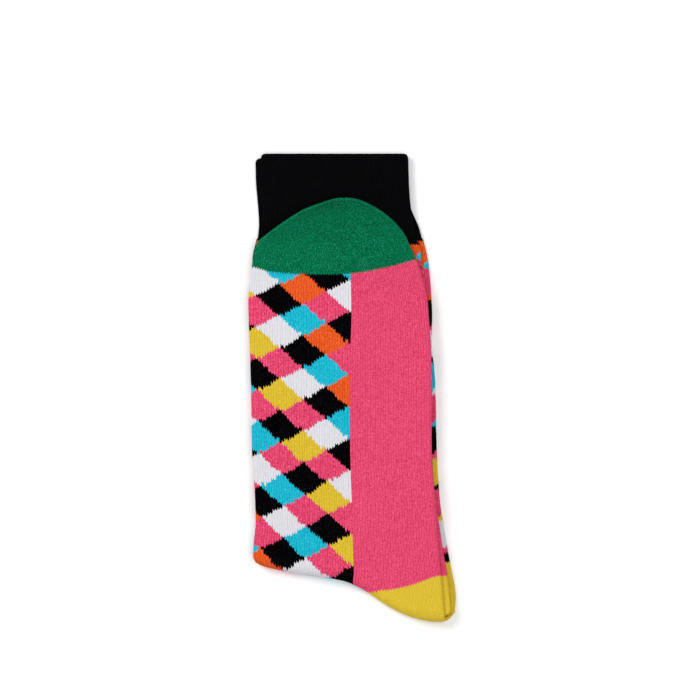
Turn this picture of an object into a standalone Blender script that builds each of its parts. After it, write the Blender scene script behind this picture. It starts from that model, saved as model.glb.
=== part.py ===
"""A pair of knitted crew socks, pressed flat, laid together and folded once at the ankle.

Each sock is one tube of knitted cloth, pressed to two plies, open at the cuff and closed at the toe.
From the table up lie the outer sock's leg, the inner sock's leg, the inner sock's foot and the outer
sock's foot, so the outer sock wraps round the inner one at the fold. Each sock is six solids: cuff,
leg, heel, instep, sole and toe.

The sizes below are millimetres. +X runs from the shin and instep side to the sole side, +Y from the
fold to the cuffs and +Z up. The origin is at the bottom centre of the pair's box.
"""

import math
from bisect import bisect_right
from collections import namedtuple

import bmesh
import bpy
from mathutils import Vector

MM = 0.001

# The cloth
WALL = 1.2        # one ply of knitted cloth
HOLLOW = 0.3      # between the two plies of a pressed tube
GAP = 0.3         # between neighbouring pieces, and between one tube and the next
HEEL_GAP = 0.25   # from the heel's edges to the lines where its yarn meets the others'
TUBE = 2 * WALL + HOLLOW
PITCH = TUBE + GAP
ROUGHNESS = 0.9
SHARP_ANGLE = 40  # degrees, where the shading shows an edge

# The fold: four tubes lie on each other, and the outer sock turns round the inner one
MIDDLE_HEIGHT = 2 * TUBE + 1.5 * GAP
OUTER_BEND = 1.5 * PITCH
INNER_BEND = 0.5 * PITCH
FOLD_REACH = OUTER_BEND + TUBE / 2
CORNER_EASE = 1.6     # how far the ends of the fold are rounded in, seen from above
CORNER_TUCK = 0.16    # the share by which the fold's reach falls off there
CORNER_POWER = 24
SLOPE_STEP = 0.5      # half the width over which the slope of the fold is read
TURN_STEPS = 25       # steps that settle where a column meets the fold

# Where the colours meet, as shares of the tube's width: the pressed sock lies turned a little,
# so the instep takes more of the upper ply than of the lower one
UPPER_MIDDLE, LOWER_MIDDLE = 0.55, 0.45
HEEL_OFFSET = 0.07        # from the edge of the sole to the point of the heel
HEEL_FOOT_REACH = 19.4    # the heel's length along the sole, past the fold
HEEL_LEG_REACH = 27.7     # the heel's length along the leg, past the fold
HEEL_CURVE = 1.25
HAIR = 1e-6               # keeps the column at the heel's own point out of the heel

# The toe
TOE_TIP = 102.7
TOE_INSET = 1.4           # the inner toe is this much inside the outer one
TIP_ANGLES = (30, 60, 80)
TOE_ROWS = (0, 0.25, 0.46, 0.64, 0.78, 0.88, 0.95, 1)

# The cuffs' open ends and lower edges
OUTER_CUFF_TOP, INNER_CUFF_TOP = 124.3, 126.75
OUTER_CUFF_FOOT, INNER_CUFF_FOOT = 80.0, 78.0
CUFF_ROWS = (0, 0.3, 0.55, 0.8, 1)

# Rows of faces on the turn of the fold, then on from it, as shares of the way
TURN_ROWS = (0, 1 / 3, 2 / 3, 1)
LIMB_ROWS = (0.1, 0.22, 0.38, 0.57, 0.78, 1)
HEEL_ROWS = (0.45, 1)
LEAST_TURN = 0.004        # a column that starts past the turn spends this share on the turn's rows
MOST_TURN = 0.8           # a column that ends on the turn spends this share on them
CAP_ANGLES = (45, 0, -45)  # degrees round the tube's rounded edge

# Columns of faces across the tube, as shares of its width; they are close at the heel's point
UPPER_INSTEP = (0, 0.04, 0.15, 0.3, 0.45, 0.55)
UPPER_SOLE = (0.55, 0.62, 0.632, 0.645, 0.665, 0.7, 0.8, 0.9, 0.96, 1)
LOWER_INSTEP = (0, 0.04, 0.15, 0.3, 0.45)
LOWER_SOLE = (0.45, 0.52, 0.532, 0.545, 0.565, 0.61, 0.7, 0.8, 0.9, 0.96, 1)
PLAIN_UPPER = (0, 0.15, 0.3, 0.45, 0.6, 0.8, 1)
PLAIN_LOWER = (0, 0.15, 0.3, 0.45, 0.6, 0.8, 1)

# The tables' own zero lies this far from the middle of the pair's box
BOX_MIDDLE = Vector((1.276, 0.158, 0))

# The outer foot, seen from above: its left edge, the line where instep meets sole, its right edge,
# and how far the inner foot stands out past the right edge
FootRow = namedtuple("FootRow", "y left middle right peek")
FOOT = (
    FootRow(101.35, -11.9, -2.3, 6.5, -1.4),
    FootRow(96.8, -24.3, -2.3, 15.1, -1.4),
    FootRow(90.3, -35.1, -2.2, 23.5, -1.4),
    FootRow(82.7, -45.4, -2.0, 29.7, -1.4),
    FootRow(78.5, -50.2, -1.6, 31.6, -1.4),
    FootRow(71.3, -52.0, -0.8, 34.9, -1.4),
    FootRow(64.0, -53.2, 0.2, 37.6, -1.4),
    FootRow(50.0, -54.8, 0.6, 41.4, -1.4),
    FootRow(38.0, -54.7, 0.7, 42.6, -1.2),
    FootRow(20.0, -54.0, 0.1, 43.8, -1.2),
    FootRow(-6.0, -53.3, -0.1, 44.2, -1.2),
    FootRow(-33.0, -52.9, 0.0, 44.1, -1.0),
    FootRow(-45.0, -52.2, 0.3, 44.7, -1.0),
    FootRow(-60.0, -51.2, 0.9, 46.0, -0.3),
    FootRow(-74.0, -51.0, 1.1, 46.9, 1.4),
    FootRow(-85.0, -52.1, 1.6, 47.7, 2.1),
    FootRow(-100.0, -52.3, 2.0, 49.1, 3.3),
    FootRow(-124.0, -52.3, 2.4, 51.0, 4.0),
)

# The two legs and cuffs, seen from above
LegRow = namedtuple("LegRow", "y left right inner_left inner_right")
LEG = (
    LegRow(124.3, -51.7, 29.8, -48.7, 32.0),
    LegRow(111.0, -51.4, 30.6, -48.6, 32.4),
    LegRow(101.6, -50.6, 31.9, -47.9, 33.0),
    LegRow(93.0, -49.9, 35.2, -47.8, 34.0),
    LegRow(88.0, -49.8, 37.4, -48.0, 34.8),
    LegRow(82.3, -50.3, 39.1, -48.6, 35.6),
    LegRow(77.0, -51.5, 40.5, -49.9, 38.0),
    LegRow(72.0, -52.7, 41.7, -51.0, 38.6),
    LegRow(64.0, -52.9, 42.9, -51.4, 38.4),
    LegRow(42.0, -52.6, 44.5, -51.2, 41.0),
    LegRow(24.0, -52.2, 44.3, -51.0, 42.2),
    LegRow(3.0, -51.6, 46.2, -50.6, 43.2),
    LegRow(-33.0, -50.8, 47.0, -49.8, 43.4),
    LegRow(-62.0, -50.0, 48.8, -49.6, 45.4),
    LegRow(-76.0, -50.6, 51.1, -50.0, 47.4),
    LegRow(-92.6, -51.6, 53.8, -50.8, 50.4),
    LegRow(-111.0, -51.8, 57.2, -51.0, 53.4),
    LegRow(-122.0, -51.8, 56.8, -51.0, 54.4),
)

# The outermost line of the fold, from the shin to the heel
FoldRow = namedtuple("FoldRow", "x y")
FOLD = (
    FoldRow(-56.0, -95.0),
    FoldRow(-38.0, -98.6),
    FoldRow(-28.0, -100.7),
    FoldRow(-16.0, -102.4),
    FoldRow(-2.0, -104.8),
    FoldRow(9.4, -110.4),
    FoldRow(20.8, -118.1),
    FoldRow(33.9, -124.1),
    FoldRow(47.0, -126.8),
    FoldRow(58.0, -127.4),
)

# Where the toe's yarn starts, across the foot
ToeRow = namedtuple("ToeRow", "share y")
TOE_LINE = (
    ToeRow(0.0, 64.6),
    ToeRow(0.1, 62.2),
    ToeRow(0.3, 60.9),
    ToeRow(0.55, 61.2),
    ToeRow(0.8, 64.5),
    ToeRow(1.0, 68.5),
)

# A column of faces along the tube: its share of the width, and where it lies on the rounded edge,
# out to the side and up, as shares of the edge's radius; seam is its own shift to the side
Column = namedtuple("Column", "share out up upper seam")

Sock = namedtuple("Sock", "name bend inner cuff_top cuff_foot")
SOCKS = (
    Sock("outer_sock", OUTER_BEND, False, OUTER_CUFF_TOP, OUTER_CUFF_FOOT),
    Sock("inner_sock", INNER_BEND, True, INNER_CUFF_TOP, INNER_CUFF_FOOT),
)


def along(table, column, at):
    """A value of one column of a table, smoothly between its rows. The first column is the key."""
    rows = sorted(table)
    keys = [row[0] for row in rows]
    values = [getattr(row, column) for row in rows]
    at = min(max(at, keys[0]), keys[-1])
    low = min(bisect_right(keys, at) - 1, len(rows) - 2)
    slopes = []
    for i in (low, low + 1):
        before, after = max(i - 1, 0), min(i + 1, len(rows) - 1)
        slopes.append((values[after] - values[before]) / (keys[after] - keys[before]))
    step = keys[low + 1] - keys[low]
    t = (at - keys[low]) / step
    return (
        values[low] * (1 + 2 * t) * (1 - t) ** 2
        + slopes[0] * step * t * (1 - t) ** 2
        + values[low + 1] * t * t * (3 - 2 * t)
        + slopes[1] * step * t * t * (t - 1)
    )


def fold_slope(x):
    """The slope of the fold's outermost line."""
    rise = along(FOLD, "y", x + SLOPE_STEP) - along(FOLD, "y", x - SLOPE_STEP)
    return rise / (2 * SLOPE_STEP)


def turn_line(x):
    """The line that the whole fold turns about, as y."""
    return along(FOLD, "y", x) + FOLD_REACH * math.hypot(1, fold_slope(x))


def edges(sock, on_foot, y):
    """The left edge, the line between instep and sole on the upper ply, and the right edge."""
    if on_foot:
        left, right = along(FOOT, "left", y), along(FOOT, "right", y)
        middle = along(FOOT, "middle", y)
        if sock.inner:
            left += TOE_INSET
            right += along(FOOT, "peek", y)
        return left, middle, right
    side = "inner_" if sock.inner else ""
    left, right = along(LEG, side + "left", y), along(LEG, side + "right", y)
    return left, left + UPPER_MIDDLE * (right - left), right


def across(sock, on_foot, column, radius, y):
    """The x of a column of the tube, on a skin of this edge radius."""
    left, middle, right = edges(sock, on_foot, y)
    low, high = left + TUBE / 2, right - TUBE / 2
    border = UPPER_MIDDLE if column.upper else LOWER_MIDDLE
    if column.share < border:
        near_border = column.share / border
    else:
        near_border = (1 - column.share) / (1 - border)
    shift = middle - (low + UPPER_MIDDLE * (high - low))
    if not column.upper:
        shift = -shift
    return low + column.share * (high - low) + shift * near_border + column.out * radius + column.seam


def turn_point(sock, on_foot, column, radius):
    """Where this column reaches the line that the fold turns about."""
    y = FOLD[0].y
    for _ in range(TURN_STEPS):
        x = across(sock, on_foot, column, radius, y)
        y = turn_line(x)
    return x, y


def place(sock, column, radius, s):
    """A point of the cloth. s is the way along it from the fold: above 0 on the foot, below on the leg."""
    quarter = sock.bend * math.pi / 2
    height = column.up * radius
    if abs(s) >= quarter:
        on_foot = s > 0
        y = turn_point(sock, on_foot, column, radius)[1] + abs(s) - quarter
        x = across(sock, on_foot, column, radius, y)
        rise = sock.bend + height
        return Vector((x, y, MIDDLE_HEIGHT + (rise if on_foot else -rise)))
    angle = s / sock.bend
    share = 0.5 - angle / math.pi
    foot_x, foot_y = turn_point(sock, True, column, radius)
    leg_x, leg_y = turn_point(sock, False, column, radius)
    x, y = foot_x + share * (leg_x - foot_x), foot_y + share * (leg_y - foot_y)
    corner = (1 - column.share) ** CORNER_POWER - column.share ** CORNER_POWER
    x += CORNER_EASE * corner * math.cos(angle) ** 2
    slope = fold_slope(x)
    reach = math.cos(angle) * (1 - CORNER_TUCK * abs(corner))
    outward = Vector((slope, -1, 0)).normalized() * reach + Vector((0, 0, math.sin(angle)))
    return Vector((x, y, MIDDLE_HEIGHT)) + (sock.bend + height) * outward


def at_height(sock, column, radius, y, on_foot):
    """The way along the cloth from the fold to a line at this y."""
    way = y - turn_point(sock, on_foot, column, radius)[1] + sock.bend * math.pi / 2
    return way if on_foot else -way


def toe_line(sock, column):
    """The y at which the toe's yarn starts."""
    return along(TOE_LINE, "y", column.share) - (TOE_INSET / 2 if sock.inner else 0)


def heel_point(column):
    """The share of the width at which the heel starts, on the column's own ply."""
    return (UPPER_MIDDLE if column.upper else LOWER_MIDDLE) + HEEL_OFFSET


def heel_line(sock, column, reach):
    """The way along the cloth from the fold to the heel's edge, 0 beside the heel."""
    point = heel_point(column)
    t = max(0.0, (column.share - point) / (1 - point))
    return (reach + sock.bend * math.pi / 2) * (1 - (1 - t) ** HEEL_CURVE)


def flats(shares, upper):
    return [Column(share, 0, 1 if upper else -1, upper, 0) for share in shares]


def cap(side):
    """The rounded edge of the tube: -1 is the left one, from top to bottom, 1 the right one, upwards."""
    turned = [math.radians(angle) for angle in (CAP_ANGLES if side < 0 else reversed(CAP_ANGLES))]
    share = 0 if side < 0 else 1
    return [Column(share, side * math.cos(a), math.sin(a), a > 0, 0) for a in turned]


def instep_columns():
    """From the sole's edge on the upper ply, round the left edge, to the sole's edge on the lower ply."""
    return flats(reversed(UPPER_INSTEP), True) + cap(-1) + flats(LOWER_INSTEP, False)


def sole_columns():
    """The rest of the tube, round the right edge."""
    return flats(LOWER_SOLE, False) + cap(1) + flats(reversed(UPPER_SOLE), True)


def whole_columns():
    return instep_columns() + sole_columns()[1:-1]


def plain_columns():
    """The whole tube, where nothing needs the close columns of the heel."""
    upper, lower = flats(reversed(PLAIN_UPPER), True), flats(PLAIN_LOWER, False)
    return upper + cap(-1) + lower + cap(1)


def heel_columns():
    """The columns of the sole that lie past the heel's points."""
    return [column for column in sole_columns() if column.share > heel_point(column) + HAIR]


def seamed(columns, shift):
    """The columns with the first and the last moved to the side, for the gap to the next piece."""
    return [columns[0]._replace(seam=shift), *columns[1:-1], columns[-1]._replace(seam=shift)]


def plain_ways(sock, first, last):
    """Evenly shared ways along the cloth, for a piece that is clear of the fold."""
    return [first + share * (last - first) for share in CUFF_ROWS]


def limb_ways(sock, first, last):
    """Ways along the cloth from the fold to the toe or the cuff, close together on the turn."""
    side = 1 if last > 0 else -1
    first, last = abs(first), abs(last)
    turned = max(sock.bend * math.pi / 2, first + LEAST_TURN * (last - first))
    ways = [first + share * (turned - first) for share in TURN_ROWS]
    ways += [turned + share * (last - turned) for share in LIMB_ROWS]
    return [side * way for way in ways]


def heel_ways(sock, first, last):
    """Ways along the heel, from its edge on the leg round the turn to its edge on the foot."""
    halves = []
    for end in (-first, last):
        turned = min(sock.bend * math.pi / 2, MOST_TURN * end)
        half = [share * turned for share in TURN_ROWS]
        half += [turned + share * (end - turned) for share in HEEL_ROWS]
        halves.append(half)
    return [-way for way in reversed(halves[0])] + halves[1][1:]


def skin(sock, columns, radius, start, end, ways):
    """Rows of points between two lines that run across the cloth, each a function of the column."""
    lines = []
    for column in columns:
        along_it = ways(sock, start(column, radius), end(column, radius))
        lines.append([place(sock, column, radius, way) for way in along_it])
    return [list(row) for row in zip(*lines)]


def toe_skin(sock, columns, radius):
    """Rows of points from the toe's lower edge to its tip, where the two plies run into each other."""
    base = TOE_TIP - TUBE / 2 - (TOE_INSET if sock.inner else 0)
    grid = []
    for share in TOE_ROWS:
        row = []
        for column in columns:
            low = toe_line(sock, column) + GAP / 2
            y = low + share * (base - low)
            table_y = y + (TOE_INSET * share if sock.inner else 0)
            x = across(sock, True, column, radius, table_y)
            row.append(Vector((x, y, MIDDLE_HEIGHT + sock.bend + column.up * radius)))
        grid.append(row)
    left, _, right = edges(sock, True, FOOT[0].y)
    centre = Vector(((left + right) / 2, base, MIDDLE_HEIGHT + sock.bend))
    full = grid[-1]
    for degrees in TIP_ANGLES:
        turned = math.radians(degrees)
        rise = Vector((0, radius * math.sin(turned), 0))
        grid.append([centre + (point - centre) * math.cos(turned) + rise for point in full])
    return grid


def colour(hex_code):
    """A linear colour from an sRGB hex code."""
    parts = [int(hex_code[i:i + 2], 16) / 255 for i in (0, 2, 4)]
    return [p / 12.92 if p <= 0.04045 else ((p + 0.055) / 1.055) ** 2.4 for p in parts] + [1]


def yarn(name, hex_code):
    """Combed cotton yarn: matt, with no metal."""
    material = bpy.data.materials.new(name)
    material.use_nodes = True
    shader = material.node_tree.nodes["Principled BSDF"]
    shader.inputs["Base Color"].default_value = colour(hex_code)
    shader.inputs["Roughness"].default_value = ROUGHNESS
    shader.inputs["Metallic"].default_value = 0
    return material


def strips(sheet, outer, inner, closed):
    """Faces that join two lines of points with the same count."""
    count = len(outer)
    for i in range(count if closed else count - 1):
        j = (i + 1) % count
        sheet.faces.new((outer[i], outer[j], inner[j], inner[i]))


def cloth(name, collection, material, outer_grid, inner_grid, closed, tip=False):
    """A solid wall of cloth between an outer and an inner skin, which have the same rows and columns.

    closed joins the last column to the first, as on a whole tube, and tip closes the last row, as on a toe.
    """
    sheet = bmesh.new()
    skins = []
    for grid in (outer_grid, inner_grid):
        rows = [[sheet.verts.new((point - BOX_MIDDLE) * MM) for point in row] for row in grid]
        for row, following in zip(rows, rows[1:]):
            strips(sheet, row, following, closed)
        if tip:
            sheet.faces.new(rows[-1])
        skins.append(rows)
    outer, inner = skins
    strips(sheet, outer[0], inner[0], closed)
    if not tip:
        strips(sheet, outer[-1], inner[-1], closed)
    if not closed:
        for side in (0, -1):
            strips(sheet, [row[side] for row in outer], [row[side] for row in inner], False)
    bmesh.ops.recalc_face_normals(sheet, faces=sheet.faces)
    mesh = bpy.data.meshes.new(name)
    sheet.to_mesh(mesh)
    sheet.free()
    mesh.materials.append(material)
    mesh.shade_smooth()
    mesh.set_sharp_from_angle(angle=math.radians(SHARP_ANGLE))
    piece = bpy.data.objects.new(name, mesh)
    collection.objects.link(piece)
    return piece


def wall(name, collection, material, sock, columns, lines, ways, closed):
    """A piece of the tube between two lines across it, a wall between its outer and inner skins."""
    start, end = lines
    grids = [skin(sock, columns, radius, start, end, ways) for radius in (TUBE / 2, HOLLOW / 2)]
    return cloth(name, collection, material, *grids, closed)


def cuff(sock, collection):
    """The ribbed band at the top of the leg, open at its end."""
    def top(column, radius):
        return at_height(sock, column, radius, sock.cuff_top, False)

    def foot(column, radius):
        return at_height(sock, column, radius, sock.cuff_foot + GAP / 2, False)

    material = yarn(sock.name + "_black_rib", "06080D")
    name = sock.name + "_cuff"
    return wall(name, collection, material, sock, plain_columns(), (foot, top), plain_ways, True)


def leg(sock, collection):
    """The patterned tube from the cuff to the fold, cut away over the heel."""
    def fold(column, _):
        return -GAP / 2 - heel_line(sock, column, HEEL_LEG_REACH)

    def top(column, radius):
        return at_height(sock, column, radius, sock.cuff_foot - GAP / 2, False)

    material = yarn(sock.name + "_patterned_leg", "20242B")
    name = sock.name + "_leg"
    return wall(name, collection, material, sock, whole_columns(), (fold, top), limb_ways, True)


def heel(sock, collection):
    """The heel's pocket, pointed at both ends, which the fold runs through."""
    def on_leg(column, _):
        return HEEL_GAP - heel_line(sock, column, HEEL_LEG_REACH)

    def on_foot(column, _):
        return heel_line(sock, column, HEEL_FOOT_REACH) - HEEL_GAP

    material = yarn(sock.name + "_yellow_heel", "DABA36")
    name = sock.name + "_heel"
    return wall(name, collection, material, sock, heel_columns(), (on_leg, on_foot), heel_ways, False)


def foot_piece(sock, collection, name, material, columns, shift):
    """A half of the foot's tube, from the fold to the toe."""
    def fold(column, _):
        return GAP / 2 + heel_line(sock, column, HEEL_FOOT_REACH)

    def toe_end(column, radius):
        return at_height(sock, column, radius, toe_line(sock, column) - GAP / 2, True)

    columns = seamed(columns, shift)
    return wall(name, collection, material, sock, columns, (fold, toe_end), limb_ways, False)


def instep(sock, collection):
    """The patterned half of the foot, over the left edge."""
    material = yarn(sock.name + "_patterned_instep", "2AAFC8")
    return foot_piece(sock, collection, sock.name + "_instep", material, instep_columns(), -GAP / 2)


def sole(sock, collection):
    """The plain half of the foot, over the right edge."""
    material = yarn(sock.name + "_pink_sole", "E24B70")
    return foot_piece(sock, collection, sock.name + "_sole", material, sole_columns(), GAP / 2)


def toe(sock, collection):
    """The toe's pocket, closed all round."""
    material = yarn(sock.name + "_green_toe", "066943")
    columns = plain_columns()
    grids = [toe_skin(sock, columns, radius) for radius in (TUBE / 2, HOLLOW / 2)]
    return cloth(sock.name + "_toe", collection, material, *grids, closed=True, tip=True)


def main():
    for old in list(bpy.data.objects):
        bpy.data.objects.remove(old, do_unlink=True)
    collection = bpy.data.collections.new("pair_of_socks")
    bpy.context.scene.collection.children.link(collection)
    for sock in SOCKS:
        whole = bpy.data.objects.new(sock.name, None)
        collection.objects.link(whole)
        for make in (cuff, leg, heel, instep, sole, toe):
            make(sock, collection).parent = whole


main()
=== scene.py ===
import math

import bmesh
import bpy
import numpy as np
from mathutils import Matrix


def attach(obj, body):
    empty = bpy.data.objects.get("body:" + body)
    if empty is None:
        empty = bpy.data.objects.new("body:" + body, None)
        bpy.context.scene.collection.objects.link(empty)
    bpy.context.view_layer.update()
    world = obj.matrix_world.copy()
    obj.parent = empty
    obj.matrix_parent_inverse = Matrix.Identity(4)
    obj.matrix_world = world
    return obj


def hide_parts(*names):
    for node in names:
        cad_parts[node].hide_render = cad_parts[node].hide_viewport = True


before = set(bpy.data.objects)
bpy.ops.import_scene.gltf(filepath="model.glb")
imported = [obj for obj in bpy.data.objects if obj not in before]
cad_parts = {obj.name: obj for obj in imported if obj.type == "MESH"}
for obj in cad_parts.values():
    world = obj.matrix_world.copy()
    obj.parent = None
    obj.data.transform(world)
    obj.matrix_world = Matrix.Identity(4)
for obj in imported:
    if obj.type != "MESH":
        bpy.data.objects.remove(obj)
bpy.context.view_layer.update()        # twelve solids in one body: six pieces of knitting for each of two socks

mm = 0.001  # sizes are millimetres until a mesh is finished

# How a sock is knitted and pressed: one tube of 144 wales, flattened to two plies
knit = {
    "wales": 144,            # round the tube
    "plyWales": 69,          # on each flat side
    "edgeWales": 3,          # round each pressed edge
    "upperInstep": 38,       # of the upper ply's wales are instep, the other 31 are sole
    "upperBorder": 0.55,     # where instep meets sole, as a share of the upper ply's width from the left
    "lowerBorder": 0.45,     # the same on the lower ply
    "course": 1.07,          # height of one row of stitches
    "vSlope": 1.05,          # how far a stitch's arms rise, in courses
    "wall": 1.2,
    "hollow": 0.3,
    "gap": 0.3,
}
tubeHeight = 2 * knit["wall"] + knit["hollow"]
pitch = tubeHeight + knit["gap"]
edgeRadius = tubeHeight / 2
innerRadius = knit["hollow"] / 2
lowerStart = knit["upperInstep"] + knit["edgeWales"]     # the wale where the lower ply starts
lowerEnd = lowerStart + knit["plyWales"]
upperStart = lowerEnd + knit["edgeWales"]                # the wale where the upper ply's sole starts
soleWale = knit["wales"] // 2                            # instep before it, sole after it

# The pile: outer leg, inner leg, inner foot, outer foot, turned round a line at half its height
pile = {
    "middleHeight": 2 * tubeHeight + 1.5 * knit["gap"],
    "reach": 1.5 * pitch + edgeRadius,    # from that line to the outside of the fold
    "cornerEase": 1.6,                    # how far the turn draws in at the fold's two corners
    "cornerTuck": 0.16,                   # how much less it stands out there, as a share
    "cornerPower": 24,                    # how closely both keep to the corners
    "slopeStep": 0.5,
    "turnSteps": 25,                      # rounds in which a wale finds where it meets the fold
    "boxMiddle": (1.276, 0.158),          # where the frame's middle lies on the outlines
}
pileHeight = 2 * pile["middleHeight"]

# bend: the fold's radius at the middle of a sock's tube. inset: how far its foot lies in from the outline.
# seam: how high the toe's closing seam stands
socks = {
    "outer": {"bend": 1.5 * pitch, "inset": 0, "cuffTop": 124.3, "cuffFoot": 80.0,
              "left": "left", "right": "right", "columnsPerWale": 4, "seam": 0.4},
    "inner": {"bend": 0.5 * pitch, "inset": 1.4, "cuffTop": 126.75, "cuffFoot": 78.0,
              "left": "innerLeft", "right": "innerRight", "columnsPerWale": 2, "seam": 0.18},
}

# Outlines from above, from the fold upwards. peek is how far the inner foot stands out on the right
footOutline = {
    "y": [-124.0, -100.0, -85.0, -74.0, -60.0, -45.0, -33.0, -6.0, 20.0,
          38.0, 50.0, 64.0, 71.3, 78.5, 82.7, 90.3, 96.8, 101.35],
    "left": [-52.3, -52.3, -52.1, -51.0, -51.2, -52.2, -52.9, -53.3, -54.0,
             -54.7, -54.8, -53.2, -52.0, -50.2, -45.4, -35.1, -24.3, -11.9],
    "middle": [2.4, 2.0, 1.6, 1.1, 0.9, 0.3, 0.0, -0.1, 0.1,
               0.7, 0.6, 0.2, -0.8, -1.6, -2.0, -2.2, -2.3, -2.3],
    "right": [51.0, 49.1, 47.7, 46.9, 46.0, 44.7, 44.1, 44.2, 43.8,
              42.6, 41.4, 37.6, 34.9, 31.6, 29.7, 23.5, 15.1, 6.5],
    "peek": [4.0, 3.3, 2.1, 1.4, -0.3, -1.0, -1.0, -1.2, -1.2,
             -1.2, -1.4, -1.4, -1.4, -1.4, -1.4, -1.4, -1.4, -1.4],
}
legOutline = {
    "y": [-122.0, -111.0, -92.6, -76.0, -62.0, -33.0, 3.0, 24.0, 42.0,
          64.0, 72.0, 77.0, 82.3, 88.0, 93.0, 101.6, 111.0, 124.3],
    "left": [-51.8, -51.8, -51.6, -50.6, -50.0, -50.8, -51.6, -52.2, -52.6,
             -52.9, -52.7, -51.5, -50.3, -49.8, -49.9, -50.6, -51.4, -51.7],
    "right": [56.8, 57.2, 53.8, 51.1, 48.8, 47.0, 46.2, 44.3, 44.5,
              42.9, 41.7, 40.5, 39.1, 37.4, 35.2, 31.9, 30.6, 29.8],
    "innerLeft": [-51.0, -51.0, -50.8, -50.0, -49.6, -49.8, -50.6, -51.0, -51.2,
                  -51.4, -51.0, -49.9, -48.6, -48.0, -47.8, -47.9, -48.6, -48.7],
    "innerRight": [54.4, 53.4, 50.4, 47.4, 45.4, 43.4, 43.2, 42.2, 41.0,
                   38.4, 38.6, 38.0, 35.6, 34.8, 34.0, 33.0, 32.4, 32.0],
}
foldOutline = {
    "x": [-56.0, -38.0, -28.0, -16.0, -2.0, 9.4, 20.8, 33.9, 47.0, 58.0],
    "y": [-95.0, -98.6, -100.7, -102.4, -104.8, -110.4, -118.1, -124.1, -126.8, -127.4],
}
toeLine = {
    "share": [0.0, 0.1, 0.3, 0.55, 0.8, 1.0],
    "y": [64.6, 62.2, 60.9, 61.2, 64.5, 68.5],
}


def along(table, key, column, at):  # a value of a table, smoothly between its rows
    keys, values = np.array(table[key]), np.array(table[column])
    slopes = np.empty(len(values))
    slopes[1:-1] = (values[2:] - values[:-2]) / (keys[2:] - keys[:-2])
    slopes[0] = (values[1] - values[0]) / (keys[1] - keys[0])
    slopes[-1] = (values[-1] - values[-2]) / (keys[-1] - keys[-2])
    at = np.clip(at, keys[0], keys[-1])
    low = np.clip(np.searchsorted(keys, at, side="right") - 1, 0, len(keys) - 2)
    step = keys[low + 1] - keys[low]
    t = (at - keys[low]) / step
    rise = values[low] * (1 + 2 * t) * (1 - t) ** 2 + values[low + 1] * t * t * (3 - 2 * t)
    return rise + slopes[low] * step * t * (1 - t) ** 2 + slopes[low + 1] * step * t * t * (t - 1)


def foldSlope(x):
    step = pile["slopeStep"]
    rise = along(foldOutline, "x", "y", x + step) - along(foldOutline, "x", "y", x - step)
    return rise / (2 * step)


def turnLine(x):  # the line that the whole pile turns about
    return along(foldOutline, "x", "y", x) + pile["reach"] * np.hypot(1, foldSlope(x))


def edges(sock, onFoot, y):  # the left edge, the border of instep and sole, and the right edge
    if onFoot:
        left = along(footOutline, "y", "left", y) + sock["inset"]
        right = along(footOutline, "y", "right", y)
        if sock["inset"]:
            right = right + along(footOutline, "y", "peek", y)
        return left, along(footOutline, "y", "middle", y), right
    left = along(legOutline, "y", sock["left"], y)
    right = along(legOutline, "y", sock["right"], y)
    return left, left + knit["upperBorder"] * (right - left), right


def tubeOf(sock, wales):  # where wales lie on the pressed tube, and where they meet the fold
    w = np.asarray(wales, float)
    edge, ply, first = knit["edgeWales"], knit["plyWales"], knit["upperInstep"]
    zones = [w <= first, w < lowerStart, w <= lowerEnd, w < upperStart]
    shares = [(first - w) / ply, 0, (w - lowerStart) / ply, 1]
    share = np.select(zones, shares, 1 - (w - upperStart) / ply)
    turns = [90, 90 - (w - first) / edge * 180, -90, -90 + (w - lowerEnd) / edge * 180]
    turned = np.radians(np.select(zones, turns, 90))
    tube = {
        "wales": w,
        "share": share,
        "turned": turned,
        "out": np.where(share < 0.5, -1, 1) * np.cos(turned),
        "up": np.sin(turned),
    }
    tube["footTurn"] = turnPoint(sock, True, tube)
    tube["legTurn"] = turnPoint(sock, False, tube)
    return tube


def across(sock, onFoot, tube, radius, y):  # the x of wales at this y
    left, middle, right = edges(sock, onFoot, y)
    low, high = left + edgeRadius, right - edgeRadius
    onTop = tube["up"] > 0
    border = np.where(onTop, knit["upperBorder"], knit["lowerBorder"])
    fromLeft, fromRight = tube["share"] / border, (1 - tube["share"]) / (1 - border)
    nearBorder = np.where(tube["share"] < border, fromLeft, fromRight)
    shift = (middle - (low + knit["upperBorder"] * (high - low))) * np.where(onTop, 1, -1)
    return low + tube["share"] * (high - low) + shift * nearBorder + tube["out"] * radius


def turnPoint(sock, onFoot, tube):
    y = np.full_like(tube["share"], foldOutline["y"][0])
    for step in range(pile["turnSteps"]):
        x = across(sock, onFoot, tube, edgeRadius, y)
        y = turnLine(x)
    return x, y


def quarterOf(sock):  # the way along a quarter turn, half of the fold
    return sock["bend"] * math.pi / 2


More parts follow.
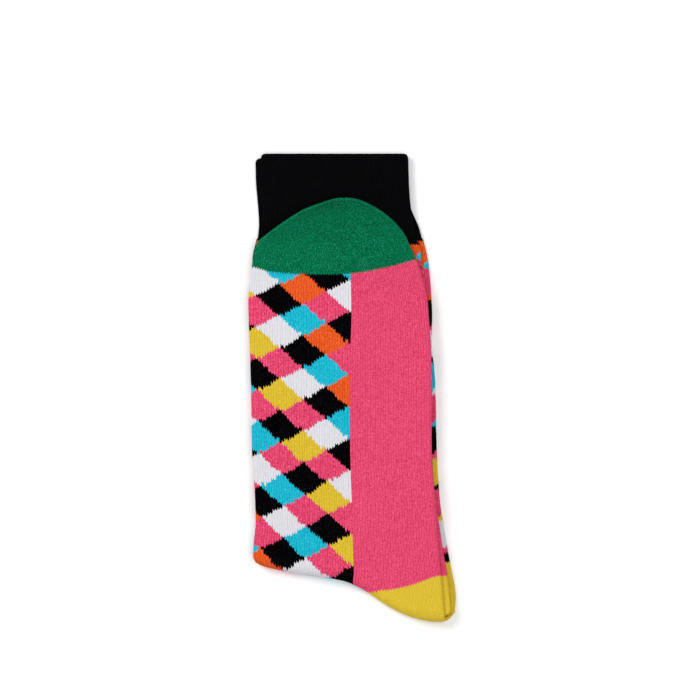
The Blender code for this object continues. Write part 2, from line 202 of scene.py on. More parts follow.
def place(sock, tube, radius, s):  # s is the way from the fold: above 0 on the foot, below on the leg
    height = tube["up"] * radius
    (footX, footY), (legX, legY) = tube["footTurn"], tube["legTurn"]
    onFoot = s > 0
    y = np.where(onFoot, footY, legY) + np.abs(s) - quarterOf(sock)
    x = np.where(onFoot, across(sock, True, tube, radius, y), across(sock, False, tube, radius, y))
    z = np.where(onFoot, 1, -1) * (sock["bend"] + height)
    angle = np.clip(s / sock["bend"], -math.pi / 2, math.pi / 2)
    share = 0.5 - angle / math.pi
    corner = (1 - tube["share"]) ** pile["cornerPower"] - tube["share"] ** pile["cornerPower"]
    turnX = footX + share * (legX - footX) + pile["cornerEase"] * corner * np.cos(angle) ** 2
    turnY = footY + share * (legY - footY)
    slope = foldSlope(turnX)
    reach = (sock["bend"] + height) * np.cos(angle) / np.hypot(slope, 1)
    reach = reach * (1 - pile["cornerTuck"] * np.abs(corner))
    turning = np.abs(s) < quarterOf(sock)
    x = np.where(turning, turnX + slope * reach, x)
    y = np.where(turning, turnY - reach, y)
    z = np.where(turning, (sock["bend"] + height) * np.sin(angle), z)
    return np.stack([x, y, pile["middleHeight"] + z], axis=-1)


def tooth(wales):  # a border between two yarns follows the stitches' arms, up and down with each wale
    return knit["vSlope"] * knit["course"] * np.abs(2 * np.mod(wales, 1) - 1)


def wayTo(sock, tube, y, onFoot):  # the way along the cloth to a border at this y
    turnY = tube["footTurn" if onFoot else "legTurn"][1]
    way = y - turnY + quarterOf(sock)
    return (way if onFoot else -way) + tooth(tube["wales"])


# The heel reaches this far up the foot and the leg at the sock's back edge, and ends in a point on each
# flat side
heel = {
    "footReach": 19.4,
    "legReach": 27.7,
    "curve": 1.25,
    "firstWale": 77,
    "lastWale": 139,
    "rows": 13,              # on the turn and again past it, on each half
    "mostTurn": 0.8,         # share of a half that its rows on the turn cover, where it is short
}


def foldBorder(sock, tube, side):  # where the leg (-1) or the foot (1) starts, at the fold or the heel
    firstShare = (heel["firstWale"] - lowerStart) / knit["plyWales"]
    lastShare = 1 - (heel["lastWale"] - upperStart) / knit["plyWales"]
    w = tube["wales"]
    point = np.where(w < (lowerEnd + upperStart) / 2, firstShare, lastShare)
    inHeel = (w >= heel["firstWale"]) & (w <= heel["lastWale"])
    t = np.where(inHeel, np.clip((tube["share"] - point) / (1 - point), 0, 1), 0)
    reach = heel["footReach" if side > 0 else "legReach"] + quarterOf(sock)
    return side * reach * (1 - (1 - t) ** heel["curve"]) + tooth(w)


def toeBorder(sock, tube):
    y = along(toeLine, "share", "y", tube["share"]) - sock["inset"] / 2
    return wayTo(sock, tube, y, True)


# Rows of faces. A limb has close rows on the turn of the fold, then even ones, then close ones at its end
rows = {
    "turn": 14,
    "plain": 52,
    "nearEnd": [2.6, 1.7, 1.1, 0.7, 0.35, 0],
    "least": 0.004,          # share of a limb that its first rows cover, where it starts past the turn
    "merge": 0.002,          # points closer than this become one
}


def limbWays(sock, start, end):
    side = np.sign(end)
    turned = side * np.maximum(quarterOf(sock), side * start + rows["least"] * side * (end - start))
    near = end - side * rows["nearEnd"][0]
    ways = [start + t * (turned - start) for t in np.linspace(0, 1, rows["turn"])]
    ways += [turned + t * (near - turned) for t in np.linspace(0, 1, rows["plain"])[1:]]
    ways += [end - side * gap for gap in rows["nearEnd"][1:]]
    return np.array(ways)


# Soft creases, pressed into the pile from above (top) and from below (under)
creases = {
    "top": [
        {"from": (46, -96), "to": (16, -84), "width": 4.5, "depth": 0.55},
        {"from": (45, -82), "to": (24, -66), "width": 5.5, "depth": 0.4},
        {"from": (-50, -88), "to": (-22, -78), "width": 5.0, "depth": 0.45},
        {"from": (-52, -52), "to": (-34, -44), "width": 6.0, "depth": 0.35},
        {"from": (44, -20), "to": (30, 2), "width": 7.0, "depth": 0.3},
        {"from": (-54, 18), "to": (-30, 30), "width": 6.5, "depth": 0.35},
        {"from": (42, 38), "to": (18, 50), "width": 6.0, "depth": 0.35},
        {"from": (-12, -60), "to": (-6, 30), "width": 9.0, "depth": 0.25},
        {"from": (20, -40), "to": (24, 44), "width": 11.0, "depth": 0.22},
        {"from": (2.2, 26.4), "to": (7.6, 31.2), "width": 2.8, "depth": 1.1},
        {"from": (-40, 76), "to": (-8, 90), "width": 7.0, "depth": 0.4},
        {"from": (26, 72), "to": (10, 92), "width": 6.0, "depth": 0.35},
        {"from": (-48, 116), "to": (-20, 112), "width": 5.0, "depth": 0.4},
        {"from": (31, 100), "to": (8, 108), "width": 5.0, "depth": 0.35},
    ],
    "under": [
        {"from": (52, -94), "to": (22, -80), "width": 5.0, "depth": 0.5},
        {"from": (50, -70), "to": (30, -56), "width": 5.5, "depth": 0.35},
        {"from": (-50, -84), "to": (-24, -72), "width": 5.0, "depth": 0.4},
        {"from": (-51, -10), "to": (-28, 4), "width": 6.5, "depth": 0.35},
        {"from": (45, 20), "to": (22, 34), "width": 6.0, "depth": 0.3},
        {"from": (-52, 60), "to": (-26, 70), "width": 6.0, "depth": 0.35},
    ],
    "taper": 0.6,            # how much shallower a crease is at its far end
    "ripple": {              # low unevenness of pressed knitting, in two sets of waves
        "height": 0.12,
        "across": 9.1,
        "bend": 1.3,
        "bendLength": 23,
        "up": 13.7,
        "upStart": 0.4,
        "second": 0.6,
        "secondAcross": 5.3,
        "secondUp": 17.9,
        "secondStart": 2.1,
    },
    "edge": {                # the upper foot droops along its sides and round its tip
        "droop": 0.5,
        "width": 3.0,
        "past": 6,           # it still does this far outside them
        "tip": 102.7,
        "tipFrom": 55,       # below this the tip is too far off to count
    },
    "press": {               # the toes press into the cuffs under them
        "dent": 0.9,
        "width": 6.0,
        "from": 60,
        "length": 40,        # over which the dent deepens
        "pastSide": 4,
        "pastTip": 2,
    },
}


def trough(crease, x, y):
    start, end = np.array(crease["from"], float), np.array(crease["to"], float)
    way = end - start
    t = ((x - start[0]) * way[0] + (y - start[1]) * way[1]) / (way @ way)
    near = np.clip(t, 0, 1)
    off = np.hypot(x - start[0] - near * way[0], y - start[1] - near * way[1])
    taper = 1 - creases["taper"] * near
    return crease["depth"] * taper * np.exp(-(off / crease["width"]) ** 2)


def settle(points):  # every layer moves with the same field, so none cuts another
    x, y, z = points.T
    ripple, edge, press = creases["ripple"], creases["edge"], creases["press"]
    top = -sum(trough(crease, x, y) for crease in creases["top"])
    bent = x / ripple["across"] + ripple["bend"] * np.sin(y / ripple["bendLength"])
    first = np.sin(bent) * np.sin(y / ripple["up"] + ripple["upStart"])
    second = np.sin(x / ripple["secondAcross"] - y / ripple["secondUp"] + ripple["secondStart"])
    top += ripple["height"] * (first + ripple["second"] * second)
    left, middle, right = edges(socks["outer"], True, y)
    inside = np.minimum(x - left, right - x)
    end = edge["tip"] - y
    near = np.minimum(inside, np.where(y < edge["tipFrom"], np.inf, np.maximum(end, 0)))
    within = np.clip(near, 0, None)
    top -= edge["droop"] * np.exp(-within / edge["width"]) * (near > -edge["past"])
    onToe = np.clip((y - press["from"]) / press["length"], 0, 1)
    onToe = onToe * (inside > -press["pastSide"]) * (end > -press["pastTip"])
    top -= press["dent"] * onToe * np.exp(-within / press["width"])
    under = sum(trough(crease, x, y) for crease in creases["under"])
    z = z + top * z / pileHeight + under * (1 - z / pileHeight)
    return np.stack([x, y, z], axis=-1)


# Relief of the stitches on the outer skin, on top of which the material adds the yarn
relief = {
    "wale": 0.16,
    "heelWale": 0.03,
    "walePower": 1.5,
    "rib": 0.55,
    "ribPower": 0.8,
    "ribFurrow": 1.5,        # the middle of the first wale that a furrow hides
    "ribSink": 0.05,
    "seamWidth": 0.55,
    "seamBead": 0.2,         # how much the seam rises and falls from wale to wale, as a share
    "seamInset": 0.5,        # wales that the seam stops short of the instep's sides
    "gore": 0.22,            # the furrow where the toe's instep and sole halves meet
    "goreWidth": 0.7,
    "goreFade": 6,           # length over which it deepens
}


def waleRelief(wales, kind="wale"):
    furrow = (0.5 + 0.5 * np.cos(2 * np.pi * wales)) ** relief["walePower"]
    return -relief[kind] * furrow


def ribRelief(wales):  # one wale stands out, the next one is hidden in the furrow
    furrow = 0.5 + 0.5 * np.cos(np.pi * (wales - relief["ribFurrow"]))
    return -relief["rib"] * furrow ** relief["ribPower"] - relief["ribSink"]


def seamRelief(sock, wales, off):  # the closing seam of the toe, over the instep only
    instep = (wales > relief["seamInset"]) & (wales < soleWale - relief["seamInset"])
    bead = 1 - relief["seamBead"] + relief["seamBead"] * np.cos(2 * np.pi * wales)
    return sock["seam"] * bead * instep * np.exp(-(off / relief["seamWidth"]) ** 2)


def knitPiece(name, outer, inner, uv, roundEnd=None):  # outer, inner: points in rows and columns
    rowCount, columnCount = outer.shape[:2]
    cloth = bmesh.new()
    bmesh.ops.create_grid(cloth, x_segments=columnCount - 1, y_segments=rowCount - 1, size=0.5)
    stitchMap = cloth.loops.layers.uv.new("knit")
    for face in cloth.faces:
        row, column = divmod(face.index, columnCount - 1)
        corners = ((row, column, 0), (row, column + 1, 1), (row + 1, column + 1, 1), (row + 1, column, 0))
        for loop, (r, c, side) in zip(face.loops, corners):
            loop[stitchMap].uv = uv[r, c, side]
        face.smooth = True
    outside = cloth.verts.layers.float_vector.new("outside")
    inside = cloth.verts.layers.float_vector.new("inside")
    skins = [settle(skin.reshape(-1, 3)) for skin in (outer, inner)]
    for vert, out, within in zip(cloth.verts, *skins):
        vert.co = vert[outside] = out
        vert[inside] = within
    bmesh.ops.remove_doubles(cloth, verts=cloth.verts, dist=rows["merge"])
    # the face that lies highest looks up when the skin's faces look outwards
    highest = max(cloth.faces, key=lambda face: face.calc_center_median().z)
    highest.normal_update()
    if highest.normal.z < 0:
        bmesh.ops.reverse_faces(cloth, faces=cloth.faces)
    for edge in cloth.edges:
        edge.smooth = not edge.is_boundary
    # solidify adds the other skin and the rim, and then each vertex goes to its place on its own skin
    outerVerts = cloth.verts[:]
    allOfIt = cloth.faces[:] + cloth.edges[:] + cloth.verts[:]
    bmesh.ops.solidify(cloth, geom=allOfIt, thickness=knit["wall"])
    for vert in cloth.verts:
        vert.co = vert[inside]
    for vert in outerVerts:
        vert.co = vert[outside]
    if roundEnd:  # past this y the cloth's end is curved, so it is shaded smooth
        for edge in cloth.edges:
            edge.smooth = edge.smooth or edge.verts[0].co.y > roundEnd
    bmesh.ops.translate(cloth, verts=cloth.verts, vec=(-pile["boxMiddle"][0], -pile["boxMiddle"][1], 0))
    bmesh.ops.scale(cloth, verts=cloth.verts, vec=(mm, mm, mm))
    cloth.normal_update()
    mesh = bpy.data.meshes.new(name)
    cloth.to_mesh(mesh)
    cloth.free()
    for layer in ("outside", "inside"):
        mesh.attributes.remove(mesh.attributes[layer])
    piece = bpy.data.objects.new(name, mesh)
    bpy.context.scene.collection.objects.link(piece)
    low, high = ([round(value / mm, 1) for value in piece.bound_box[corner]] for corner in (0, 6))
    print(name, sum(len(face.vertices) - 2 for face in mesh.polygons), "triangles, from", low, "to", high)
    return piece


def flatMap(tube, ways):  # stitches as coordinates: wales across, courses along
    u = np.broadcast_to(tube["wales"], ways.shape)
    both = np.stack([u, ways / knit["course"]], axis=-1)
    return np.stack([both, both], axis=2)


def columnsFrom(sock, first, last):
    return np.linspace(first, last, (last - first) * sock["columnsPerWale"] + 1)


# The cuff's corners are rounded, and its two skins curve together over the last of the cloth, the lip
cuff = {
    "rows": 28,
    "cornerRadius": 3.2,
    "lip": 0.55,
    "lipRows": 4,
    "lipClose": 0.96,        # how nearly the skins meet, 1 being all the way
    "ribFade": 1.6,          # length over which plain knitting turns to rib
}


def strip(name, sock, first, last, start, end, ways, lift, lip=None):
    tube = tubeOf(sock, columnsFrom(sock, first, last))
    low, high = start(sock, tube), end(sock, tube)
    s = ways(sock, low, high)
    outer, inner = edgeRadius + lift(tube, s, high), np.full(s.shape, innerRadius)
    roundEnd = None
    if lip:
        way = np.clip((np.abs(s) - np.abs(s[-1]) + lip) / lip, 0, 1)
        closing = np.sqrt(1 - cuff["lipClose"] * way ** 2)
        middle, half = (outer + inner) / 2, (outer - inner) / 2 * closing
        outer, inner = middle + half, middle - half
        roundEnd = sock["cuffTop"] - 2 * cuff["cornerRadius"]
    skins = [place(sock, tube, radius, s) for radius in (outer, inner)]
    return knitPiece(name, *skins, flatMap(tube, s), roundEnd)


def cuffPiece(name, sock):
    def foot(sock, tube):
        return wayTo(sock, tube, sock["cuffFoot"], False)

    def top(sock, tube):
        left, middle, right = edges(sock, False, sock["cuffTop"])
        x = across(sock, False, tube, edgeRadius, sock["cuffTop"])
        radius = cuff["cornerRadius"]
        near = np.clip(radius - np.minimum(x - left, right - x), 0, radius)
        drop = radius - np.sqrt(radius ** 2 - near ** 2)
        return wayTo(sock, tube, sock["cuffTop"] - drop, False) - tooth(tube["wales"])

    def ways(sock, start, end):
        straight = end + cuff["lip"]
        ways = [start + t * (straight - start) for t in np.linspace(0, 1, cuff["rows"])]
        angles = np.linspace(0, math.pi / 2, cuff["lipRows"] + 1)[1:]
        return np.array(ways + [straight - cuff["lip"] * math.sin(angle) for angle in angles])

    def lift(tube, s, end):
        fade = np.clip((s[0] - s) / cuff["ribFade"], 0, 1)
        return waleRelief(tube["wales"]) * (1 - fade) + ribRelief(tube["wales"]) * fade

    return strip(name, sock, 0, knit["wales"], foot, top, ways, lift, cuff["lip"])


def legPiece(name, sock):
    def fold(sock, tube):
        return foldBorder(sock, tube, -1)

    def top(sock, tube):
        return wayTo(sock, tube, sock["cuffFoot"], False)

    def lift(tube, s, end):
        return np.broadcast_to(waleRelief(tube["wales"]), s.shape)

    return strip(name, sock, 0, knit["wales"], fold, top, limbWays, lift)


def heelPiece(name, sock):
    def onLeg(sock, tube):
        return foldBorder(sock, tube, -1)

    def onFoot(sock, tube):
        return foldBorder(sock, tube, 1)

    def ways(sock, start, end):
        middle = tooth(columnsFrom(sock, heel["firstWale"], heel["lastWale"]))
        halves = []
        for edge in (start - middle, end - middle):
            turned = np.sign(edge) * np.minimum(quarterOf(sock), heel["mostTurn"] * np.abs(edge))
            onTurn = [middle + t * turned for t in np.linspace(0, 1, heel["rows"])]
            shares = np.linspace(0, 1, heel["rows"] + 1)[1:]
            halves.append(onTurn + [middle + turned + t * (edge - turned) for t in shares])
        return np.array(halves[0][::-1] + halves[1][1:])

    def lift(tube, s, end):
        return np.broadcast_to(waleRelief(tube["wales"], "heelWale"), s.shape)

    return strip(name, sock, heel["firstWale"], heel["lastWale"], onLeg, onFoot, ways, lift)


def footPiece(name, sock, first, last):
    def fold(sock, tube):
        return foldBorder(sock, tube, 1)

    def lift(tube, s, end):
        return waleRelief(tube["wales"]) + seamRelief(sock, tube["wales"], end - s)

    return strip(name, sock, first, last, fold, toeBorder, limbWays, lift)


# The toe's sides round off as the outline does, and its last row is an arc that is turned over
toe = {
    "lastRow": 101.0,
    "tipRise": 1.7,
    "firstRows": [0, 0.35, 0.7, 1.1, 1.7],
    "plainRows": 30,
    "rowPower": 1.5,         # brings the rows closer together towards the tip
    "turnShare": 0.25,       # of the toe's length, over which its sides start to turn with the outline
    "turnStep": 0.25,
    "tipAngles": [15, 30, 45, 60, 75, 90],
    "tipCourse": 0.35,       # courses from each of these to the next
}


def sideTurn(sock, y, step):  # how far the outline's sides have turned from straight up, left and right
    leftLow, middle, rightLow = edges(sock, True, y - step)
    leftHigh, middle, rightHigh = edges(sock, True, y + step)
    return np.arctan2(leftHigh - leftLow, 2 * step), np.arctan2(rightLow - rightHigh, 2 * step)


def toePiece(name, sock):
    tube = tubeOf(sock, columnsFrom(sock, 0, knit["wales"]))
    start = toeBorder(sock, tube)
    low = start - quarterOf(sock) + tube["footTurn"][1]
    offs = toe["firstRows"]
    shares = 1 - (1 - np.linspace(0, 1, toe["plainRows"])) ** toe["rowPower"]
    plain = low + offs[-1] + shares[:, None] * (toe["lastRow"] - sock["inset"] - low - offs[-1])
    y = np.vstack([np.array([low + off for off in offs[:-1]]), plain])
    t = (y - low) / (y[-1] - low)
    tableY = y + sock["inset"] * t
    left, middle, right = edges(sock, True, tableY)
    width = right - left - 2 * edgeRadius
    walePitch = width[0] / knit["plyWales"]

    side = np.stack([tube["wales"] > soleWale, tube["wales"] >= soleWale], axis=-1)
    share = np.broadcast_to(tube["share"], y.shape)

    def edgeWales(onSole):  # wales counted from the pressed edges, so that they meet in a mitre
        fromLeft, fromRight = share * width / walePitch, (1 - share) * width / walePitch
        w = np.broadcast_to(tube["wales"], y.shape)
        upper = knit["upperInstep"]
        instep = np.select([w <= upper, w < lowerStart], [upper - fromLeft, w], lowerStart + fromLeft)
        sole = np.select([w < lowerEnd, w <= upperStart], [lowerEnd - fromRight, w],
                         upperStart + fromRight)
        return np.where(onSole, sole, instep)

    instepU, soleU = edgeWales(False), edgeWales(True)
    v = (start + y - low) / knit["course"]
    here = np.where(side[:, 1], soleU, instepU)       # as the first corner of the faces to its right
    there = np.where(side[:, 0], soleU, instepU)      # as the last corner of the faces to its left
    uv = np.stack([np.stack([here, v], axis=-1), np.stack([there, v], axis=-1)], axis=2)

    lift = waleRelief(here) + seamRelief(sock, tube["wales"], y - low)
    goreOff = np.minimum(np.mod(tube["wales"], soleWale), soleWale - np.mod(tube["wales"], soleWale))
    fade = np.clip((y - low) / relief["goreFade"], 0, 1)
    goreWay = goreOff * width / knit["plyWales"]
    lift = lift - relief["gore"] * np.exp(-(goreWay / relief["goreWidth"]) ** 2) * fade

    turning = np.clip(t / toe["turnShare"], 0, 1)
    leftTurn, rightTurn = (turn * turning for turn in sideTurn(sock, tableY, toe["turnStep"]))
    # which way each wale's edge faces, from straight up
    facing = (leftTurn - math.pi / 2) * (1 - share) + (math.pi / 2 - rightTurn) * share
    slack = edgeRadius * ((1 - np.cos(rightTurn)) * share - (1 - np.cos(leftTurn)) * (1 - share))
    coreX = across(sock, True, tube, 0, tableY) + slack
    coreY = y - edgeRadius * (np.sin(leftTurn) * (1 - share) + np.sin(rightTurn) * share)
    coreY = coreY + toe["tipRise"] * 4 * share * (1 - share) * t ** 3
    steps = [(row, 0) for row in range(len(y))] + [(-1, angle) for angle in toe["tipAngles"]]
    skins = []
    for radius in (edgeRadius + lift, np.full(y.shape, innerRadius)):
        skin = []
        for row, over in steps:
            turned = tube["turned"] * (1 - over / 90)
            reach = radius[row] * np.cos(turned)
            skin.append(np.stack([
                coreX[row] + reach * np.sin(facing[row]),
                coreY[row] + reach * np.cos(facing[row]),
                pile["middleHeight"] + sock["bend"] + radius[row] * np.sin(turned),
            ], axis=-1))
        skins.append(np.array(skin))
    overTip = [uv[-1:] + [0, (k + 1) * toe["tipCourse"]] for k in range(len(toe["tipAngles"]))]
    return knitPiece(name, *skins, np.concatenate([uv] + overTip))


def linear(hexCode):  # an sRGB hex value as a linear colour
    parts = [int(hexCode[i:i + 2], 16) / 255 for i in (0, 2, 4)]
    return [p / 12.92 if p <= 0.04045 else ((p + 0.055) / 1.055) ** 2.4 for p in parts] + [1]


def addNode(tree, kind, settings=None, links=None):  # links: an input -> a value or another node's output
    node = tree.nodes.new(kind)
    for key, value in (settings or {}).items():
        setattr(node, key, value)
    for key, value in (links or {}).items():
        if isinstance(value, bpy.types.NodeSocket):
            tree.links.new(value, node.inputs[key])
        else:
            node.inputs[key].default_value = value
    return node


# Each yarn's colour, and how lively its grain looks, from 0 to 1
yarns = {
    "black": ("030305", 0.6),
    "white": ("E3E2E8", 0.3),
    "cyan": ("22BCD5", 0.8),
    "orange": ("EC5D27", 0.75),
    "yellow": ("E1C138", 0.55),
    "pink": ("EA4C75", 1.0),
    "green": ("00724B", 1.0),
}
# A harlequin of lozenges, charted stitch by stitch. Eight of them go round the tube, and the twelve
# yarns in turn never put a colour beside itself
chart = {
    "waleSpan": 18.0,
    "courseSpan": 16.0,
    "courseShift": -25,      # where the first row of lozenges starts
    "order": ["black", "pink", "cyan", "white", "black", "pink", "orange", "cyan", "black", "white",
              "pink", "yellow"],
}
# How the yarn looks. Sizes are in millimetres
yarnLook = {
    # strandMean: a strand's mean painted brightness, 0 in the painted shade beside it. shade: how far that
    # painted shade and the grain shift the colour
    "strandMean": 0.69,      # a strand's mean brightness, from 0 in the dark beside it to 1 on its crest
    "shade": 0.29,           # how far such a tone shifts the colour, as the eye sees it
    "eye": 2.2,              # the power between light and how bright it looks
    "stitchSpread": 0.06,    # from one stitch to the next
    "napSize": 0.7,
    "napDetail": 1.0,
    "napSpread": 1.0,
    "fibreSize": 0.3,
    "fibreDetail": 3.0,
    "fibreSpread": 0.7,
    "cloudSize": 22,
    "cloudDetail": 2.0,
    "cloudSpread": 0.06,
    "splayed": 0.92,         # how much of a strand's own rounding shows before the gap to the next wale
    "acrossPower": 0.9,      # below 1 a strand is plumper than round, across and along
    "alongPower": 0.5,
    "alongLeast": 0.4,       # of a strand's height is left where it slips under the next stitch
    "strandHeight": 0.3,
    "fibreShare": 0.35,      # of the strand's height
    "slack": 2.4,            # courses that the rows wander up and down from wale to wale, at most
    "slackLength": 5.0,      # courses over which they do so
    "waleStep": 7.3,         # sets neighbouring wales apart in the noise that the slack is read from
    "roughness": 0.9,
    "sheenRoughness": 0.5,
}


def knitMaterial(name, colours, strandGapShade, grain, gloss, sheen):
    material = bpy.data.materials.new(name)
    material.use_nodes = True
    tree = material.node_tree
    shader = tree.nodes["Principled BSDF"]

    def add(kind, settings=None, links=None):
        return addNode(tree, kind, settings, links).outputs[0]

    def maths(operation, *values):
        return add("ShaderNodeMath", {"operation": operation}, dict(enumerate(values)))

    uvMap = addNode(tree, "ShaderNodeUVMap", {"uv_map": "knit"})
    parts = addNode(tree, "ShaderNodeSeparateXYZ", None, {0: uvMap.outputs[0]})
    u, v = parts.outputs[0], parts.outputs[1]
    waleIndex = maths("FLOOR", u)

    # no row of stitches is quite straight: each wale has its own slack
    waleSeed = maths("MULTIPLY", waleIndex, yarnLook["waleStep"])
    alongSeed = maths("DIVIDE", v, yarnLook["slackLength"])
    seed = add("ShaderNodeCombineXYZ", None, {0: waleSeed, 1: alongSeed})
    wander = add("ShaderNodeTexNoise", {"noise_dimensions": "2D"},
                 {"Vector": seed, "Scale": 1.0, "Detail": 0.0})
    slack = yarnLook["slack"]
    slackRow = maths("MULTIPLY_ADD", wander, slack, v)
    fraction = maths("FRACT", u)
    centred = maths("MULTIPLY_ADD", fraction, 2.0, -1.0)
    arm = maths("ABSOLUTE", centred)      # 1 between wales, 0 in the middle
    course = maths("MULTIPLY_ADD", arm, -knit["vSlope"], slackRow)
    rung = maths("FRACT", course)
    courseIndex = maths("FLOOR", course)

    # the yarn: each arm of a stitch is a plump strand
    splay = yarnLook["splayed"] * math.pi
    acrossAngle = maths("MULTIPLY_ADD", arm, splay, math.pi - splay)
    acrossArm = maths("SINE", acrossAngle)
    acrossSoft = maths("POWER", acrossArm, yarnLook["acrossPower"])
    alongAngle = maths("MULTIPLY", rung, math.pi)
    alongArm = maths("SINE", alongAngle)
    alongSoft = maths("POWER", alongArm, yarnLook["alongPower"])
    least = yarnLook["alongLeast"]
    alongShare = maths("MULTIPLY_ADD", alongSoft, 1 - least, least)
    strand = maths("MULTIPLY", acrossSoft, alongShare)

    # the tone of this stitch, and the unevenness of the yarn and the cloth
    stitch = add("ShaderNodeCombineXYZ", None, {0: waleIndex, 1: courseIndex})
    tone = add("ShaderNodeTexWhiteNoise", {"noise_dimensions": "2D"}, {0: stitch})
    where = addNode(tree, "ShaderNodeTexCoord").outputs["Object"]
    noises = {}
    for key in ("nap", "fibre", "cloud"):
        scale, detail = 1 / (yarnLook[key + "Size"] * mm), yarnLook[key + "Detail"]
        noises[key] = add("ShaderNodeTexNoise", None, {"Vector": where, "Scale": scale, "Detail": detail})

    if len(colours) == 1:
        hexCode, lively = yarns[colours[0]]
        colour = linear(hexCode)
    else:
        waleShare = maths("DIVIDE", waleIndex, chart["waleSpan"])
        rowStep = 1 / chart["courseSpan"]
        rowShift = (chart["courseShift"] - slack / 2) * rowStep
        courseShare = maths("MULTIPLY_ADD", courseIndex, rowStep, rowShift)
        rising = maths("ADD", waleShare, courseShare)
        falling = maths("SUBTRACT", waleShare, courseShare)
        risingIndex = maths("FLOOR", rising)
        fallingIndex = maths("FLOOR", falling)
        turn = maths("MULTIPLY_ADD", fallingIndex, 2.0, risingIndex)
        count = float(len(colours))
        which = maths("FLOORED_MODULO", turn, count)
        factor = maths("MULTIPLY_ADD", which, 1 / count, 0.5 / count)
        ramp = addNode(tree, "ShaderNodeValToRGB", None, {0: factor})
        ramp.color_ramp.interpolation = "CONSTANT"
        stops = ramp.color_ramp.elements
        while len(stops) < len(colours):
            stops.new(0.5)
        for index, yarn in enumerate(colours):
            hexCode, lively = yarns[yarn]
            stops[index].position = index / count
            stops[index].color = linear(hexCode)[:3] + [lively]
        colour, lively = ramp.outputs[0], ramp.outputs[1]

    # painted shade in the gaps between the strands, and a tone a little lighter or darker at random
    # from stitch to stitch and over the cloth
    darkestGapShade = 1 - strandGapShade * yarnLook["strandMean"]
    gapShadeAndGrain = maths("MULTIPLY_ADD", strand, strandGapShade, darkestGapShade)
    spreads = [(tone, grain * yarnLook["stitchSpread"])]
    spreads += [(noise, grain * yarnLook[key + "Spread"]) for key, noise in noises.items()]
    for value, spread in spreads:
        around = maths("MULTIPLY_ADD", value, spread, 1 - spread / 2)
        gapShadeAndGrain = maths("MULTIPLY", gapShadeAndGrain, around)
    # the painted shade of a gap greys the colour and a loose fibre pales it, whatever the dye, so both
    # are added to the colour as the eye sees it
    offMean = maths("SUBTRACT", gapShadeAndGrain, 1.0)
    livelier = maths("MULTIPLY", offMean, lively)
    shade = maths("MULTIPLY", livelier, yarnLook["shade"])
    shades = add("ShaderNodeCombineXYZ", None, {0: shade, 1: shade, 2: shade})
    seen = add("ShaderNodeGamma", None, {0: colour, 1: 1 / yarnLook["eye"]})
    shaded = add("ShaderNodeVectorMath", {"operation": "ADD"}, {0: seen, 1: shades})
    kept = add("ShaderNodeVectorMath", {"operation": "MAXIMUM"}, {0: shaded, 1: (0, 0, 0)})
    yarnColour = add("ShaderNodeGamma", None, {0: kept, 1: yarnLook["eye"]})
    tree.links.new(yarnColour, shader.inputs["Base Color"])

    share = yarnLook["fibreShare"]
    height = maths("MULTIPLY_ADD", noises["fibre"], share, strand)
    bump = add("ShaderNodeBump", None, {"Distance": yarnLook["strandHeight"] * mm, "Height": height})
    tree.links.new(bump, shader.inputs["Normal"])
    shader.inputs["Roughness"].default_value = yarnLook["roughness"]
    shader.inputs["Specular IOR Level"].default_value = gloss
    shader.inputs["Sheen Weight"].default_value = sheen
    shader.inputs["Sheen Roughness"].default_value = yarnLook["sheenRoughness"]
    if len(colours) == 1:
        shader.inputs["Sheen Tint"].default_value = colour
    return material


# the strand setting is how dark the shade painted beside the strands is, grain how uneven the yarn is
finishes = {
    # dull and so deep that the ribs' furrows are almost lost
    "cuff": {"name": "black combed cotton rib", "colours": ["black"],
             "strandGapShade": 0.7, "grain": 0.6, "gloss": 0.05, "sheen": 0.03},
    # dry, flat colours that change in ragged steps
    "leg": {"name": "harlequin cotton jacquard", "colours": chart["order"],
            "strandGapShade": 0.8, "grain": 1.3, "gloss": 0.01, "sheen": 0.0},
    "instep": {"name": "harlequin cotton jacquard instep", "colours": chart["order"],
               "strandGapShade": 0.8, "grain": 1.3, "gloss": 0.01, "sheen": 0.0},
    # the smoothest of the knits, in which the wales hardly show
    "heel": {"name": "yellow combed cotton", "colours": ["yellow"],
             "strandGapShade": 0.15, "grain": 1.0, "gloss": 0.06, "sheen": 0.2},
    # lively and grainy, with a soft bloom where it turns away
    "sole": {"name": "pink combed cotton", "colours": ["pink"],
             "strandGapShade": 0.6, "grain": 1.1, "gloss": 0.06, "sheen": 0.2},
    # the most flecked of the knits, with pale fibres on a dark green
    "toe": {"name": "green combed cotton", "colours": ["green"],
            "strandGapShade": 0.7, "grain": 1.6, "gloss": 0.06, "sheen": 0.1},
}
materials = {part: knitMaterial(**finish) for part, finish in finishes.items()}
print("yarns dyed")

makers = {
    "cuff": cuffPiece,
    "leg": legPiece,
    "heel": heelPiece,
    "instep": lambda name, sock: footPiece(name, sock, 0, soleWale),
    "sole": lambda name, sock: footPiece(name, sock, soleWale, knit["wales"]),
    "toe": toePiece,
}

for sockName, sock in socks.items():
    for part, make in makers.items():
        piece = make(f"{sockName}_{part}_knit", sock)
        piece.data.materials.append(materials[part])
        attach(piece, "root")
        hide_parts(f"{sockName}_sock_{part}")
print("socks knitted")

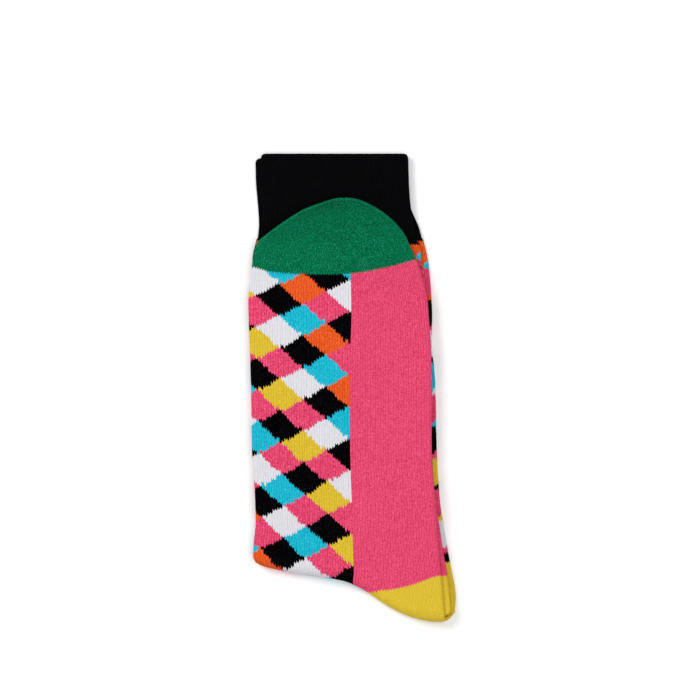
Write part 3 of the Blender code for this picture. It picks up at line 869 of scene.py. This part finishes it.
# Soft light from the upper left and from overhead, on a plain pale floor. Sizes and places are metres
studio = {
    "floorSize": 4.0, "floorColour": "F6F6F6", "floorRoughness": 0.95, "floorGloss": 0.1,
    "cameraHeight": 2.0, "viewWidth": 0.37835, "viewCentre": (-0.001276, 0.02038), "sensor": 36,
    "keyPlace": (-1.05, 0.8, 1.5), "keySize": 0.8, "keyPower": 18,
    "fillPlace": (0.25, -0.1, 2.0), "fillSize": 1.4, "fillPower": 21.3,
    "worldStrength": 0.42,
}
floorMesh = bmesh.new()
bmesh.ops.create_grid(floorMesh, x_segments=1, y_segments=1, size=studio["floorSize"] / 2)
floorData = bpy.data.meshes.new("floor")
floorMesh.to_mesh(floorData)
floorMesh.free()
floor = bpy.data.objects.new("floor", floorData)
bpy.context.scene.collection.objects.link(floor)
paper = bpy.data.materials.new("white backdrop paper")   # matt and bright, so only a soft shadow shows
paper.use_nodes = True
paperInputs = paper.node_tree.nodes["Principled BSDF"].inputs
paperInputs["Base Color"].default_value = linear(studio["floorColour"])
paperInputs["Roughness"].default_value = studio["floorRoughness"]
paperInputs["Specular IOR Level"].default_value = studio["floorGloss"]
floorData.materials.append(paper)
print("floor laid")


def softLight(name, at, size, power):
    data = bpy.data.lights.new(name, "AREA")
    data.shape = "DISK"
    data.size = size
    data.energy = power
    lamp = bpy.data.objects.new(name, data)
    lamp.location = at
    lamp.rotation_euler = (-lamp.location).to_track_quat("-Z", "Y").to_euler()
    bpy.context.scene.collection.objects.link(lamp)


softLight("key", studio["keyPlace"], studio["keySize"], studio["keyPower"])
softLight("fill", studio["fillPlace"], studio["fillSize"], studio["fillPower"])

world = bpy.data.worlds.new("white room")
world.use_nodes = True
background = world.node_tree.nodes["Background"].inputs
background["Color"].default_value = (1, 1, 1, 1)
background["Strength"].default_value = studio["worldStrength"]
bpy.context.scene.world = world
bpy.context.scene.view_settings.view_transform = "Standard"

camera = bpy.data.objects.new("camera", bpy.data.cameras.new("camera"))
camera.data.sensor_width = studio["sensor"]
heightOverPile = studio["cameraHeight"] - pile["middleHeight"] * mm
camera.data.lens = studio["sensor"] * heightOverPile / studio["viewWidth"]
camera.location = (*studio["viewCentre"], studio["cameraHeight"])
bpy.context.scene.collection.objects.link(camera)
bpy.context.scene.camera = camera

print("scene ready")
